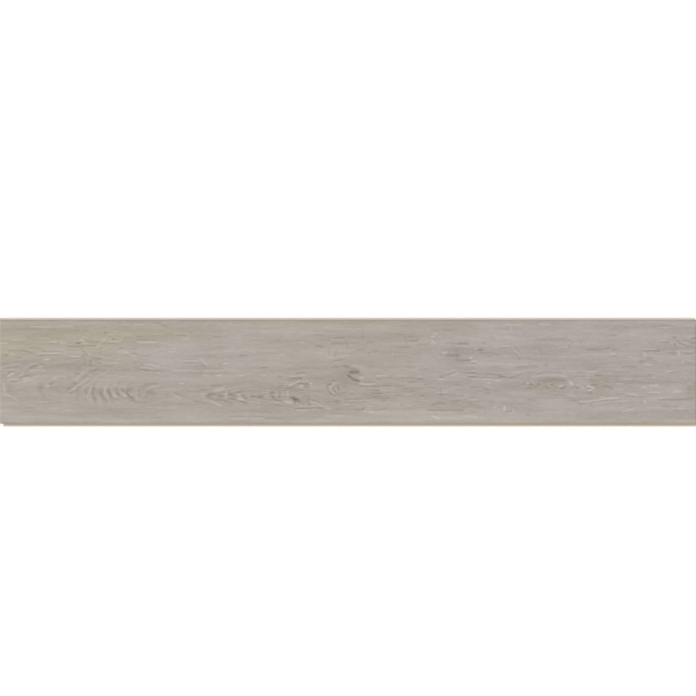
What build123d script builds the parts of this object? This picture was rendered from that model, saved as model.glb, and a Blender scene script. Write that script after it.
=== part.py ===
"""Laminate floor plank, one pressed board with a click profile milled on all four sides.

The plank lies face up on Z = 0, its length along X. The origin is on the underside, below the
middle of the visible face. Two adjacent sides, far (+Y) and left (-X), carry a tongue. The other
two, near (-Y) and right (+X), carry the groove that takes it, with a lower lip that reaches out
under the neighbour and ends in a hook. A laid plank shows only its face, from seam to seam.

The board is milled the way a real one is: the long sides over its whole length, then the ends
over its whole width. So the solid is what two extruded sections have in common, and the corners
come out as the cutters leave them. All sizes are in millimetres.
"""

import os
from dataclasses import dataclass
from math import radians, tan

from build123d import *

# The face that shows when the floor is laid, from seam to seam, and the board's thickness.
FACE_LENGTH = 1292.0
FACE_WIDTH = 192.0
THICKNESS = 8.0

# The small bevel round the face, which draws the line between two laid planks.
BEVEL_WIDTH = 0.8
BEVEL_DEPTH = 0.5

# Heights that the tongue and the groove share.
LIP_THICKNESS = 2.1
TONGUE_THICKNESS = 2.85
HOOK_HEIGHT = 1.15

# The tongue's nose: its slope from the flat top, and the rise of its underside towards the tip.
NOSE_RUN = 1.2
NOSE_DROP = 0.9
TONGUE_RISE = 1.2

# The face of the hook and the face it holds stand at this angle to the floor.
LOCK_ANGLE = 50.0

# Clearances between a tongue and the groove that it is laid in.
TONGUE_PLAY = 0.05
LOCK_PLAY = 0.05
NOSE_GAP = 0.35
HOOK_TOP_GAP = 0.2
LIP_END_GAP = 0.6

# Corner radii left by the cutters.
ROOT_ROUND = 0.2
MOUTH_ROUND = 0.35
SHOULDER_ROUND = 0.8
NOSE_ROUND = 0.5
BELLY_ROUND = 1.5
LOCK_ROUND = 0.3
FOOT_ROUND = 0.2
SLOT_ROUND = 0.45
RECESS_ROUND = 0.3
HOOK_ROUND = 0.4

# Heights that follow, measured from the underside.
BELLY_HEIGHT = LIP_THICKNESS + TONGUE_PLAY
TONGUE_TOP = BELLY_HEIGHT + TONGUE_THICKNESS
SLOT_TOP = TONGUE_TOP + TONGUE_PLAY
HOOK_TOP = LIP_THICKNESS + HOOK_HEIGHT
RECESS_TOP = HOOK_TOP + HOOK_TOP_GAP


@dataclass(frozen=True)
class ClickJoint:
    """How far one pair of sides reaches, measured outwards from the seam."""

    tongue_length: float
    lip_length: float
    belly_reach: float  # where the tongue's flat underside ends and its rise begins
    lock_setback: float  # how far behind the seam the tongue's flat underside starts

    def lock_reach(self, height):
        """Distance of the locking face from the seam at a height."""
        return self.lock_setback + (height - BELLY_HEIGHT) / tan(radians(LOCK_ANGLE))


LONG_SIDES = ClickJoint(tongue_length=3.4, lip_length=5.2, belly_reach=0.9, lock_setback=1.7)
END_SIDES = ClickJoint(tongue_length=3.0, lip_length=4.9, belly_reach=0.7, lock_setback=1.5)


def edge_bevel():
    """The bevelled edge of the face, the same on every side."""
    return [(-BEVEL_WIDTH, THICKNESS, 0.0), (0.0, THICKNESS - BEVEL_DEPTH, 0.0)]


def tongue_side(joint):
    """Outline of a tongue side, from the face down: (reach past the seam, height, corner radius).

    Behind the tongue the underside is cut back, to take the neighbour's lip and hook.
    """
    recess_wall = -(joint.lip_length + LIP_END_GAP)
    return edge_bevel() + [
        (0.0, TONGUE_TOP, ROOT_ROUND),
        (joint.tongue_length - NOSE_RUN, TONGUE_TOP, SHOULDER_ROUND),
        (joint.tongue_length, TONGUE_TOP - NOSE_DROP, NOSE_ROUND),
        (joint.tongue_length, BELLY_HEIGHT + TONGUE_RISE, NOSE_ROUND),
        (joint.belly_reach, BELLY_HEIGHT, BELLY_ROUND),
        (-joint.lock_setback, BELLY_HEIGHT, LOCK_ROUND),
        (-joint.lock_reach(RECESS_TOP), RECESS_TOP, RECESS_ROUND),
        (recess_wall, RECESS_TOP, RECESS_ROUND),
        (recess_wall, 0.0, 0.0),
    ]


def groove_side(joint):
    """Outline of a groove side, from the face down: (reach past the seam, height, corner radius).

    The slot follows the tongue's underside, and its floor runs out along the lip to the hook.
    """
    slot_depth = joint.tongue_length + NOSE_GAP
    rise = TONGUE_RISE / (joint.tongue_length - joint.belly_reach)
    slot_end_height = LIP_THICKNESS + rise * (slot_depth - joint.belly_reach)
    return edge_bevel() + [
        (0.0, SLOT_TOP, MOUTH_ROUND),
        (-slot_depth, SLOT_TOP, SLOT_ROUND),
        (-slot_depth, slot_end_height, SLOT_ROUND),
        (-joint.belly_reach, LIP_THICKNESS, BELLY_ROUND),
        (joint.lock_reach(LIP_THICKNESS) + LOCK_PLAY, LIP_THICKNESS, FOOT_ROUND),
        (joint.lock_reach(HOOK_TOP) + LOCK_PLAY, HOOK_TOP, HOOK_ROUND),
        (joint.lip_length, HOOK_TOP, HOOK_ROUND),
        (joint.lip_length, 0.0, 0.0),
    ]


def milled_board(plane, face_span, joint, tongue_towards):
    """A board far longer than the plank, milled on two sides, with its section in the plane.

    tongue_towards is 1 or -1, the end of the plane's own x axis at which the tongue is.
    """
    half = face_span / 2
    tongue_end = [(tongue_towards * (half + reach), height, corner)
                  for reach, height, corner in tongue_side(joint)]
    groove_end = [(-tongue_towards * (half + reach), height, corner)
                  for reach, height, corner in reversed(groove_side(joint))]
    outline = tongue_end + groove_end
    points = [(across, height) for across, height, _ in outline]
    corners = [corner for _, _, corner in outline]
    with BuildPart() as board:
        with BuildSketch(plane):
            with BuildLine():
                FilletPolyline(*points, radius=corners, close=True)
            make_face()
        extrude(amount=FACE_LENGTH, both=True)
    return board.part


def laminate_plank():
    """The plank: what the board milled on its long sides and the one milled at its ends share.

    Where a tongue side meets a groove side, a scrap of the hook is cut loose and falls away.
    """
    long_milled = milled_board(Plane.YZ, FACE_WIDTH, LONG_SIDES, tongue_towards=1)
    end_milled = milled_board(Plane.XZ, FACE_LENGTH, END_SIDES, tongue_towards=-1)
    plank = max((long_milled & end_milled).solids(), key=lambda piece: piece.volume)
    plank.label = "laminate_plank"
    return plank


os.makedirs("parts", exist_ok=True)
export_step(laminate_plank(), "parts/laminate_plank.step")
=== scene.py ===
"""Looks of a laminate floor plank: printed grey oak face, fibreboard edges and backing paper.

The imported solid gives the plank's milled sides and underside. Its flat face is rebuilt as a fine
grid pressed with the relief of the wood, and the figure of the oak is worked out from one model of
the growth rings: a heart line that runs along the plank, how deep the pith lies below the face,
and the knots that push the rings aside. The printed colour, the pressed relief and the gloss all
read that same model, as they do on a plank embossed in register with its print.

Lengths are in metres. Places that were read off the photograph are in its pixels: those of the
tracks, patches, strokes and dashes, and every value whose name ends in _px. PhotoFrame turns
places on the face into those pixels.
"""

import logging
import math
from dataclasses import dataclass, field
from enum import Enum, IntEnum

import bpy
import numpy as np
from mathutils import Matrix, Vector

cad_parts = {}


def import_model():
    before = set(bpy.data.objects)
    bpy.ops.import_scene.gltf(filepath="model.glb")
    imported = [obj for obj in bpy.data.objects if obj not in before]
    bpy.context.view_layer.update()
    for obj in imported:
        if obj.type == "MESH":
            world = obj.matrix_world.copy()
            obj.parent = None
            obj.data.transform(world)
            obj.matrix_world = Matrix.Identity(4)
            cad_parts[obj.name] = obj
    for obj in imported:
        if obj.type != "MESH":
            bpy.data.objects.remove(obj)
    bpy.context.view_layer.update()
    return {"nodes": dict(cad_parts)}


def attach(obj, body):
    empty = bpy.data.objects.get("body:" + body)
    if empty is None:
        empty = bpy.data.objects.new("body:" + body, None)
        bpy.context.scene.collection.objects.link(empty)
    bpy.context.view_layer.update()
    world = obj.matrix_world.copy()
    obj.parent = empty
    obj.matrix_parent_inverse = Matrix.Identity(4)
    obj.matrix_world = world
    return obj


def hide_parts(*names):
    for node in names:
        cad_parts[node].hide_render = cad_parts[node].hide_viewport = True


LOG = logging.getLogger("laminate_plank")

MM = 0.001
PLANK_NODE = "laminate_plank"
BODY = "root"

Array = np.ndarray
Node = bpy.types.Node
Socket = bpy.types.NodeSocket
Value = Socket | float | tuple
Colour = tuple[float, float, float, float]

WARM_WHITE: Colour = (1.0, 0.998, 0.992, 1.0)


class Surface(IntEnum):
    """The plank's three finishes, in the order of its material slots."""

    DECOR = 0
    FIBREBOARD = 1
    BACKING = 2


class GrainField(Enum):
    """The values that the face carries at each of its points, by the names that materials read."""

    GRAIN = "grain_line"
    RINGS = "ring_line"
    FIGURE = "ring_contrast"
    OLIVE = "olive_tint"
    LILAC = "lilac_tint"
    SHADE = "shade"
    PORES = "pore_density"


def srgb(red: float, green: float, blue: float) -> Colour:
    """Turns a colour of 0 to 255 per channel into linear light.

    Args:
        red: red channel.
        green: green channel.
        blue: blue channel.

    Returns:
        The linear colour with an alpha of 1.
    """
    channels = np.array([red, green, blue]) / 255.0
    low = channels / 12.92
    high = ((channels + 0.055) / 1.055) ** 2.4
    linear = np.where(channels <= 0.04045, low, high)
    return (float(linear[0]), float(linear[1]), float(linear[2]), 1.0)


def smooth_step(value: Array) -> Array:
    """Ease from 0 to 1: three times the square less twice the cube, clipped to that range."""
    t = np.clip(value, 0.0, 1.0)
    return t * t * (3.0 - 2.0 * t)


def value_noise(u: Array, v: Array, seed: int, cells: int = 256) -> Array:
    """Smooth random field: random values on a square lattice, eased between the lattice points.

    At (u, v) it is the bilinear blend of the four random values round it, with each fraction
    passed through smooth_step first. The lattice repeats after the given number of cells.

    Args:
        u: first coordinate, in lattice cells.
        v: second coordinate, in lattice cells.
        seed: seed of the lattice's random values.
        cells: cells before the lattice repeats.

    Returns:
        Values from -1 to 1, in the shape of u.
    """
    lattice = np.random.default_rng(seed).uniform(-1.0, 1.0, (cells, cells))
    column = np.floor(u).astype(int)
    row = np.floor(v).astype(int)
    fu = smooth_step(u - column)
    fv = smooth_step(v - row)
    left, right = column % cells, (column + 1) % cells
    low, high = row % cells, (row + 1) % cells
    near = lattice[left, low] * (1 - fu) + lattice[right, low] * fu
    far = lattice[left, high] * (1 - fu) + lattice[right, high] * fu
    return near * (1 - fv) + far * fv


@dataclass(frozen=True)
class Waver:
    """A slow random change over the face: value noise of one size, strength and seed."""

    length: float
    width: float
    strength: float
    seed: int

    def at(self, along: Array, across: Array) -> Array:
        """Value noise at each place, in the unit of the length and width, times the strength."""
        return self.strength * value_noise(along / self.length, across / self.width, seed=self.seed)


@dataclass(frozen=True)
class PlankSize:
    """The plank's sizes that the looks need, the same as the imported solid's."""

    face_length: float = 1292.0 * MM
    face_width: float = 192.0 * MM
    thickness: float = 8.0 * MM
    bevel_width: float = 0.8 * MM
    bevel_depth: float = 0.5 * MM

    @property
    def flat_half_length(self) -> float:
        """Half the length of the face inside its bevel."""
        return self.face_length / 2 - self.bevel_width

    @property
    def flat_half_width(self) -> float:
        """Half the width of the face inside its bevel."""
        return self.face_width / 2 - self.bevel_width

    @property
    def seam_top(self) -> float:
        """Height at which the milled sides end and the bevel begins."""
        return self.thickness - self.bevel_depth


@dataclass(frozen=True)
class PhotoFrame:
    """How the photograph shows the face: its size in pixels and where the face lies in it."""

    side_px: float = 696.0
    face_top_px: float = 320.2
    face_bottom_px: float = 423.6
    corner_px: float = 0.5  # from the picture's corner to the middle of the corner pixel
    size: PlankSize = PlankSize()

    @property
    def scale(self) -> float:
        """Metres on the face that one pixel covers."""
        return self.size.face_length / self.side_px

    @property
    def middle_px(self) -> float:
        """How far the middle of the face lies below the picture's upper edge."""
        return (self.face_top_px + self.face_bottom_px) / 2

    @property
    def centre_offset(self) -> float:
        """How far the photograph's centre lies beyond the plank's, across the plank."""
        return (self.middle_px - self.side_px / 2) * self.scale

    def to_pixels(self, x: Array, y: Array) -> tuple[Array, Array]:
        """Turns places on the face into pixels, right and down from the middle of the corner pixel.

        Args:
            x: metres along the plank from its middle.
            y: metres across the plank from its middle.

        Returns:
            The pixel columns and rows.
        """
        columns = self.side_px / 2 + x / self.scale - self.corner_px
        rows = self.middle_px - y / self.scale - self.corner_px
        return columns, rows


@dataclass(frozen=True)
class Patch:
    """A soft-edged oval on the face, such as a tinted zone or the core of a knot."""

    x_px: float
    y_px: float
    half_length_px: float
    half_width_px: float
    strength: float
    tilt_deg: float = 0.0
    edge: float = 2.0  # 2 fades like a bell, and more keeps a flat middle with a sharper rim

    def weight(self, px: Array, py: Array) -> Array:
        """Its strength times e to the minus distance, raised to the power of its edge.

        The distance is from the oval's middle, in its own half length and half width.

        Args:
            px: pixel columns.
            py: pixel rows.

        Returns:
            The weight at each place.
        """
        turn = math.radians(self.tilt_deg)
        dx = px - self.x_px
        dy = py - self.y_px
        along = (dx * math.cos(turn) - dy * math.sin(turn)) / self.half_length_px
        across = (dx * math.sin(turn) + dy * math.cos(turn)) / self.half_width_px
        return self.strength * np.exp(-np.hypot(along, across) ** self.edge)


@dataclass(frozen=True)
class Track:
    """A value that changes along the plank: straight steps between a few stations, smoothed."""

    stations_px: tuple[float, ...]
    values: tuple[float, ...]
    smoothing_px: float = 9.0
    samples: int = 5

    def at(self, px: Array) -> Array:
        """The mean of the broken line at a few places spread over the smoothing width.

        Args:
            px: pixel columns.

        Returns:
            The value at each column.
        """
        spread = np.linspace(-1.0, 1.0, self.samples) * self.smoothing_px
        lines = [np.interp(px + step, self.stations_px, self.values) for step in spread]
        return sum(lines) / len(lines)


@dataclass(frozen=True)
class Stroke:
    """A light or dark line of the print, drawn through a few places and tapered at its ends."""

    tone: float
    half_width_px: float
    path_px: tuple[tuple[float, float], ...]
    rim: float = 0.2  # strength of the faint rim of the opposite tone
    rim_spread: float = 2.0  # how much wider the rim is than the line
    end_share: float = 0.6  # share of the distance past an end that counts

    def weight(self, px: Array, py: Array) -> Array:
        """Its tone times a bell over the distance from its path, less a share of a wider bell.

        The wider bell leaves a faint rim of the opposite tone, which makes the line look crisp.
        The distance is the least one from the straight pieces of the path, in half widths. Past
        a piece's end it counts for less, so that the stroke runs out softly.

        Args:
            px: pixel columns.
            py: pixel rows.

        Returns:
            The weight at each place.
        """
        nearest = np.full(px.shape, np.inf)
        for (x0, y0), (x1, y1) in zip(self.path_px[:-1], self.path_px[1:]):
            run, rise = x1 - x0, y1 - y0
            length = math.hypot(run, rise)
            along = ((px - x0) * run + (py - y0) * rise) / length
            across = ((px - x0) * rise - (py - y0) * run) / length
            past = along - np.clip(along, 0.0, length)
            nearest = np.minimum(nearest, np.hypot(across, self.end_share * past))
        distance = nearest / self.half_width_px
        bell = np.exp(-(distance**2)) - self.rim * np.exp(-((distance / self.rim_spread) ** 2))
        return self.tone * bell / (1.0 - self.rim)


def ovals(edge: float, *places_px: tuple[float, ...]) -> tuple[Patch, ...]:
    """Patches of one edge, each given as its column, row, half length, half width, strength and tilt."""
    return tuple(Patch(*place, edge=edge) for place in places_px)


def strokes(tone: float, half_width_px: float, *paths_px: tuple[float, ...]) -> tuple[Stroke, ...]:
    """Strokes of one tone and width, each given as the column and row of its places in turn."""
    return tuple(Stroke(tone, half_width_px, tuple(zip(path[::2], path[1::2]))) for path in paths_px)


def dashes(tone: float, half_width_px: float, *rows_px: tuple[float, float, float]) -> tuple[Stroke, ...]:
    """Level strokes of one tone and width, each given as its row, its start and its end."""
    return tuple(Stroke(tone, half_width_px, ((start, row), (end, row))) for row, start, end in rows_px)


FLAME_STROKES = (
    *dashes(-2.1, 0.75, (364, 40, 44), (386.5, 79, 79.5)),
    *strokes(-2.1, 0.75, (8.5, 371.5, 12.5, 370.5), (11.5, 380.5, 15.5, 381.5)),
    *dashes(-2.1, 1.1, (373.2, 75, 79), (373.5, 92, 96), (383.2, 49.5, 51.5)),
    *strokes(-2.1, 1.1, (107, 390, 110, 396, 115.5, 399), (21, 377, 25, 376, 29, 375)),
    *strokes(-2.1, 1.6, (121.5, 389, 127, 393.5, 132, 398)),
    *dashes(-1.7, 0.75, (382.5, 71.5, 75.5)),
    *strokes(-1.7, 1.1, (93, 387, 91.5, 392, 95, 399), (114.5, 388, 117, 393, 122, 397),
        (30, 367, 34, 365, 37, 365.5)),
    *strokes(-1.7, 1.6, (99.5, 392, 102, 396, 106, 400), (138.5, 390, 138.5, 394.5)),
    *strokes(-1.3, 0.75, (70, 393, 76, 389, 80, 386), (50, 384.5, 52, 382, 55, 381),
        (3.5, 367.5, 10.5, 367, 17.5, 365.5), (24.5, 374.5, 29.5, 373.5)),
    *strokes(-1.3, 1.1, (67, 389, 75, 383.5), (124, 398, 132, 401, 145, 402),
        (131, 388, 135, 386, 142, 386.5, 146, 383.5, 156, 383)),
    *strokes(-1.3, 2.1, (147, 391, 152, 392)),
    *strokes(-0.9, 1.1, (43, 394, 43.5, 395.5)),
    *strokes(-0.9, 1.6, (84, 375, 90, 371, 98, 369)),
    *dashes(1.2, 0.75, (369.6, 7.5, 17.5)),
    *strokes(1.2, 1.1, (83, 388, 89, 383), (92, 386, 89, 391, 87, 396), (24, 381, 30, 379, 38, 375)),
    *dashes(1.7, 0.75, (363.5, 29.5, 35.5), (372.9, 10.5, 13.5), (376, 54.5, 65.5)),
    *strokes(1.7, 0.75, (84, 395, 90, 400), (7.5, 380, 10.5, 379, 15.5, 378.5), (22.5, 380.8, 31.5, 379.5)),
    *dashes(1.7, 1.1, (385.5, 45.5, 48.5)),
    *strokes(1.7, 1.1, (76, 378, 83, 371, 88, 367.5), (68, 391, 74, 388, 80, 383, 87, 379),
        (110, 387, 111, 391, 114, 395), (119, 387, 119.5, 391, 124, 395),
        (143, 395, 145, 390, 150, 386.5, 158, 385), (0, 393, 8, 394.5, 16, 399),
        (-0.5, 367.5, 4.5, 366, 11.5, 364.2, 19.5, 363.8)),
    *strokes(1.7, 1.6, (3, 384, 4.5, 391)),
    *dashes(2.3, 0.75, (378.5, 72.5, 75.5)),
    *strokes(2.3, 0.75, (30, 370, 40, 369.5, 44, 371)),
    *dashes(2.3, 1.1, (377.6, 23.5, 27.5)),
    *strokes(2.3, 1.1, (52, 377, 55, 378), (104.5, 388, 104, 393)),
    *strokes(3, 0.75, (20, 375, 23, 373), (128.5, 392, 131, 395), (37.5, 366.3, 41.5, 365.7)),
    *strokes(4.4, 0.75, (8, 375.5, 12, 373.5)),
)

VEE_STROKES = (
    *dashes(-3.2, 1.1, (391.8, 270.5, 274), (395.5, 219, 223), (396, 251.5, 253.5), (396, 258, 262)),
    *dashes(-2.6, 0.75, (382.8, 298, 301), (383, 303, 303.5), (383, 306, 306.5)),
    *strokes(-2.6, 1.6, (208.5, 394.3, 213, 393.5)),
    *dashes(-2.1, 0.75, (391.8, 236, 241)),
    *strokes(-2.1, 1.1, (227, 398, 233, 398.5, 240, 401, 246, 403),
        (271, 395, 274, 398.5, 277, 400, 283, 401)),
    *strokes(-2.1, 1.6, (229, 393, 235, 396), (291.5, 378.3, 300, 377)),
    *dashes(-1.7, 0.75, (385.3, 211, 221), (389.5, 291, 303)),
    *strokes(-1.7, 0.75, (239, 390, 247, 387), (296, 373, 305, 371.5), (286, 389, 292, 386, 303, 383)),
    *strokes(-1.7, 1.1, (243, 395, 245, 397), (279, 391, 279, 396), (278.5, 375.8, 280, 376)),
    *strokes(-1.7, 1.6, (206, 397, 222, 400, 230, 403), (304, 385.5, 307.5, 386.5)),
    *strokes(-1.3, 0.75, (194, 400.5, 208, 402.5, 218, 405), (307, 390.8, 318, 390.5)),
    *strokes(-1.3, 1.1, (277, 388, 282, 384)),
    *dashes(-1.3, 1.6, (390, 200, 204)),
    *strokes(-0.9, 1.1, (175, 393, 184, 396, 195, 397)),
    *strokes(1.2, 0.75, (243, 400, 253, 402)),
    *strokes(1.2, 1.1, (258, 400, 258.5, 405.5)),
    *strokes(1.7, 0.75, (169, 393, 173, 393.5, 180, 398.5), (283, 392, 283, 397)),
    *strokes(1.7, 1.1, (226, 391, 226, 396), (238, 394, 239, 395), (275, 392, 276, 396)),
    *dashes(2.3, 0.75, (375, 203, 206), (375, 239, 241), (375, 261, 265), (402, 275.5, 279)),
    *strokes(2.3, 0.75, (302, 381, 303.5, 378.5), (200, 393.3, 206, 393.3)),
    *strokes(2.3, 1.1, (203.5, 396, 211, 401, 219, 404.5), (287, 391, 287, 397)),
    *strokes(2.3, 1.6, (215, 390, 222, 387.7)),
    *strokes(3, 0.75, (289.5, 376.2, 297, 375.7, 304.5, 375), (289, 385, 294, 382.3, 299, 380.5)),
    *strokes(3, 1.1, (284, 401, 290, 401.6), (300, 385.5, 302, 385.2)),
    *dashes(3, 1.6, (398.8, 237.5, 240.5)),
)

KNOT_STROKES = (
    *strokes(-4.2, 1.1, (348, 375, 353, 379, 357.5, 380.6)),
    *dashes(-4.2, 1.6, (371.8, 351, 357)),
    *strokes(-4.2, 2.1, (293, 398, 297.5, 400)),
    *dashes(-3.2, 1.1, (349.4, 478.2, 481)),
    *dashes(-2.6, 0.75, (354.4, 440, 440.5), (362.8, 471.5, 475), (407.7, 362.5, 363)),
    *strokes(-2.6, 1.1, (294.5, 400, 294.5, 402.5)),
    *dashes(-2.1, 0.75, (383.8, 327.5, 330.5), (389.4, 366, 379), (401, 335, 339.7), (403, 335.5, 338),
        (407.4, 319, 324)),
    *strokes(-2.1, 0.75, (333, 386, 332.5, 388, 335, 392.5), (360, 385.6, 375, 386, 390, 385),
        (373, 409.4, 380, 409, 387, 407.8)),
    *strokes(-2.1, 1.1, (482.5, 342, 484.5, 343)),
    *dashes(-1.7, 0.75, (338.8, 434, 434.5), (339, 438.5, 439), (339.9, 409.5, 417), (343.6, 418, 418.5),
        (359, 340, 343.5), (359.8, 333, 339), (380.2, 333, 333.5), (381.6, 363, 373), (383.8, 304.5, 308.5),
        (385, 395, 403), (392.8, 372, 380), (396, 372, 379), (409.5, 355, 362)),
    *strokes(-1.7, 0.75, (294, 408, 306, 408, 322, 407.3), (312, 400, 319, 402),
        (331, 383.5, 327, 384.5, 327.5, 390, 331, 394, 335, 395.5), (336, 385, 338, 389),
        (355, 383, 358, 385.5), (344, 398.6, 355, 398.6, 372, 397.5, 388, 397.5),
        (343, 402.2, 358, 402, 365, 401), (338, 384.5, 338.3, 389)),
    *dashes(-1.7, 1.1, (329.7, 444, 455)),
    *strokes(-1.7, 1.6, (345, 366, 349, 367, 356, 369)),
    *dashes(-1.3, 0.75, (335.7, 408, 412), (349.4, 356, 363.5), (357.5, 320, 324.5), (373, 375, 380),
        (377.5, 402, 413), (391, 401, 413), (400, 380, 385), (405.8, 344, 355)),
    *strokes(-1.3, 0.75, (325, 402, 339, 400.5), (336, 409, 352, 408.6, 363, 409), (408, 340, 417, 341.5),
        (377, 378.3, 383, 377.3, 390, 377), (415.5, 379, 419.5, 378), (431.5, 329, 436.5, 331.5),
        (480, 352, 489, 352.3, 497, 353.7)),
    *dashes(-1.3, 1.1, (342.2, 367.5, 372), (342.8, 447, 467), (343.2, 332, 344), (343.2, 459, 467),
        (359.8, 461, 469), (374, 359, 364)),
    *strokes(-1.3, 1.1, (346, 342.5, 347.3, 347), (336, 350.5, 334.5, 355), (490, 336.3, 493.5, 338)),
    *dashes(-1.3, 1.6, (354.6, 448, 457)),
    *dashes(-0.9, 0.75, (346.8, 472, 483)),
    *dashes(-0.9, 1.1, (325.4, 468, 472), (350.6, 373, 376), (361.5, 407, 415), (367, 407, 414)),
    *strokes(-0.9, 1.1, (362.3, 331.5, 362.3, 339), (328.4, 350, 328.4, 354)),
    *dashes(-0.9, 1.6, (354.8, 446, 459), (360.8, 460, 469), (366.5, 369, 371)),
    *strokes(-0.9, 1.6, (303, 396, 303, 404), (308, 397, 308, 404), (456.5, 350, 456.5, 359),
        (405, 338.5, 406, 343)),
    *dashes(1.2, 0.75, (337.3, 420, 428), (339.9, 418, 427), (345.4, 461, 482), (369.5, 408, 415),
        (379, 401, 410), (399.3, 361, 372), (405.8, 367, 371.5), (411.2, 362, 387)),
    *strokes(1.2, 0.75, (311, 386, 311, 389), (358, 394, 352, 396, 346, 393.5, 352, 390.5, 358, 394),
        (391, 404.7, 398, 403.5)),
    *dashes(1.2, 1.1, (415.2, 326, 342)),
    *strokes(1.2, 1.1, (320, 358, 333, 356.6, 348, 355)),
    *dashes(1.7, 0.75, (344, 350.8, 351.3), (345.8, 493, 509), (350, 432, 433), (357.8, 470.5, 472),
        (361.9, 334, 339), (375.3, 395, 407), (382.1, 304, 304.5), (390, 380, 392), (393.5, 386, 394),
        (394, 403, 411), (405.5, 300, 315), (412.2, 369, 373)),
    *strokes(1.7, 0.75, (333, 384, 329.5, 387, 331, 390, 334, 393.5), (335, 388, 336, 390),
        (351, 366, 356, 364.7)),
    *dashes(2.3, 0.75, (336.2, 431, 434), (336.2, 439, 439.5), (348.2, 476, 476.5), (357.2, 469, 471),
        (361, 471.5, 475.5), (375.2, 376, 386), (382.8, 333.2, 333.7), (403.6, 344.5, 347.5),
        (409, 311, 315), (410, 296, 307)),
    *strokes(2.3, 0.75, (431, 339, 434, 343)),
    *dashes(2.3, 1.1, (333.2, 434.5, 435.5)),
    *strokes(2.3, 1.1, (310, 401, 316, 402.5, 321, 406, 330, 408)),
    *dashes(3, 0.75, (352, 442.5, 445.5), (392.5, 333.3, 333.8)),
    *strokes(3, 0.75, (361, 383.3, 367, 384, 373, 383.5)),
    *dashes(3, 1.1, (377.5, 359.5, 361.5)),
    *dashes(4.4, 0.75, (380, 306, 306.5), (382.8, 310.2, 310.7)),
)

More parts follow.
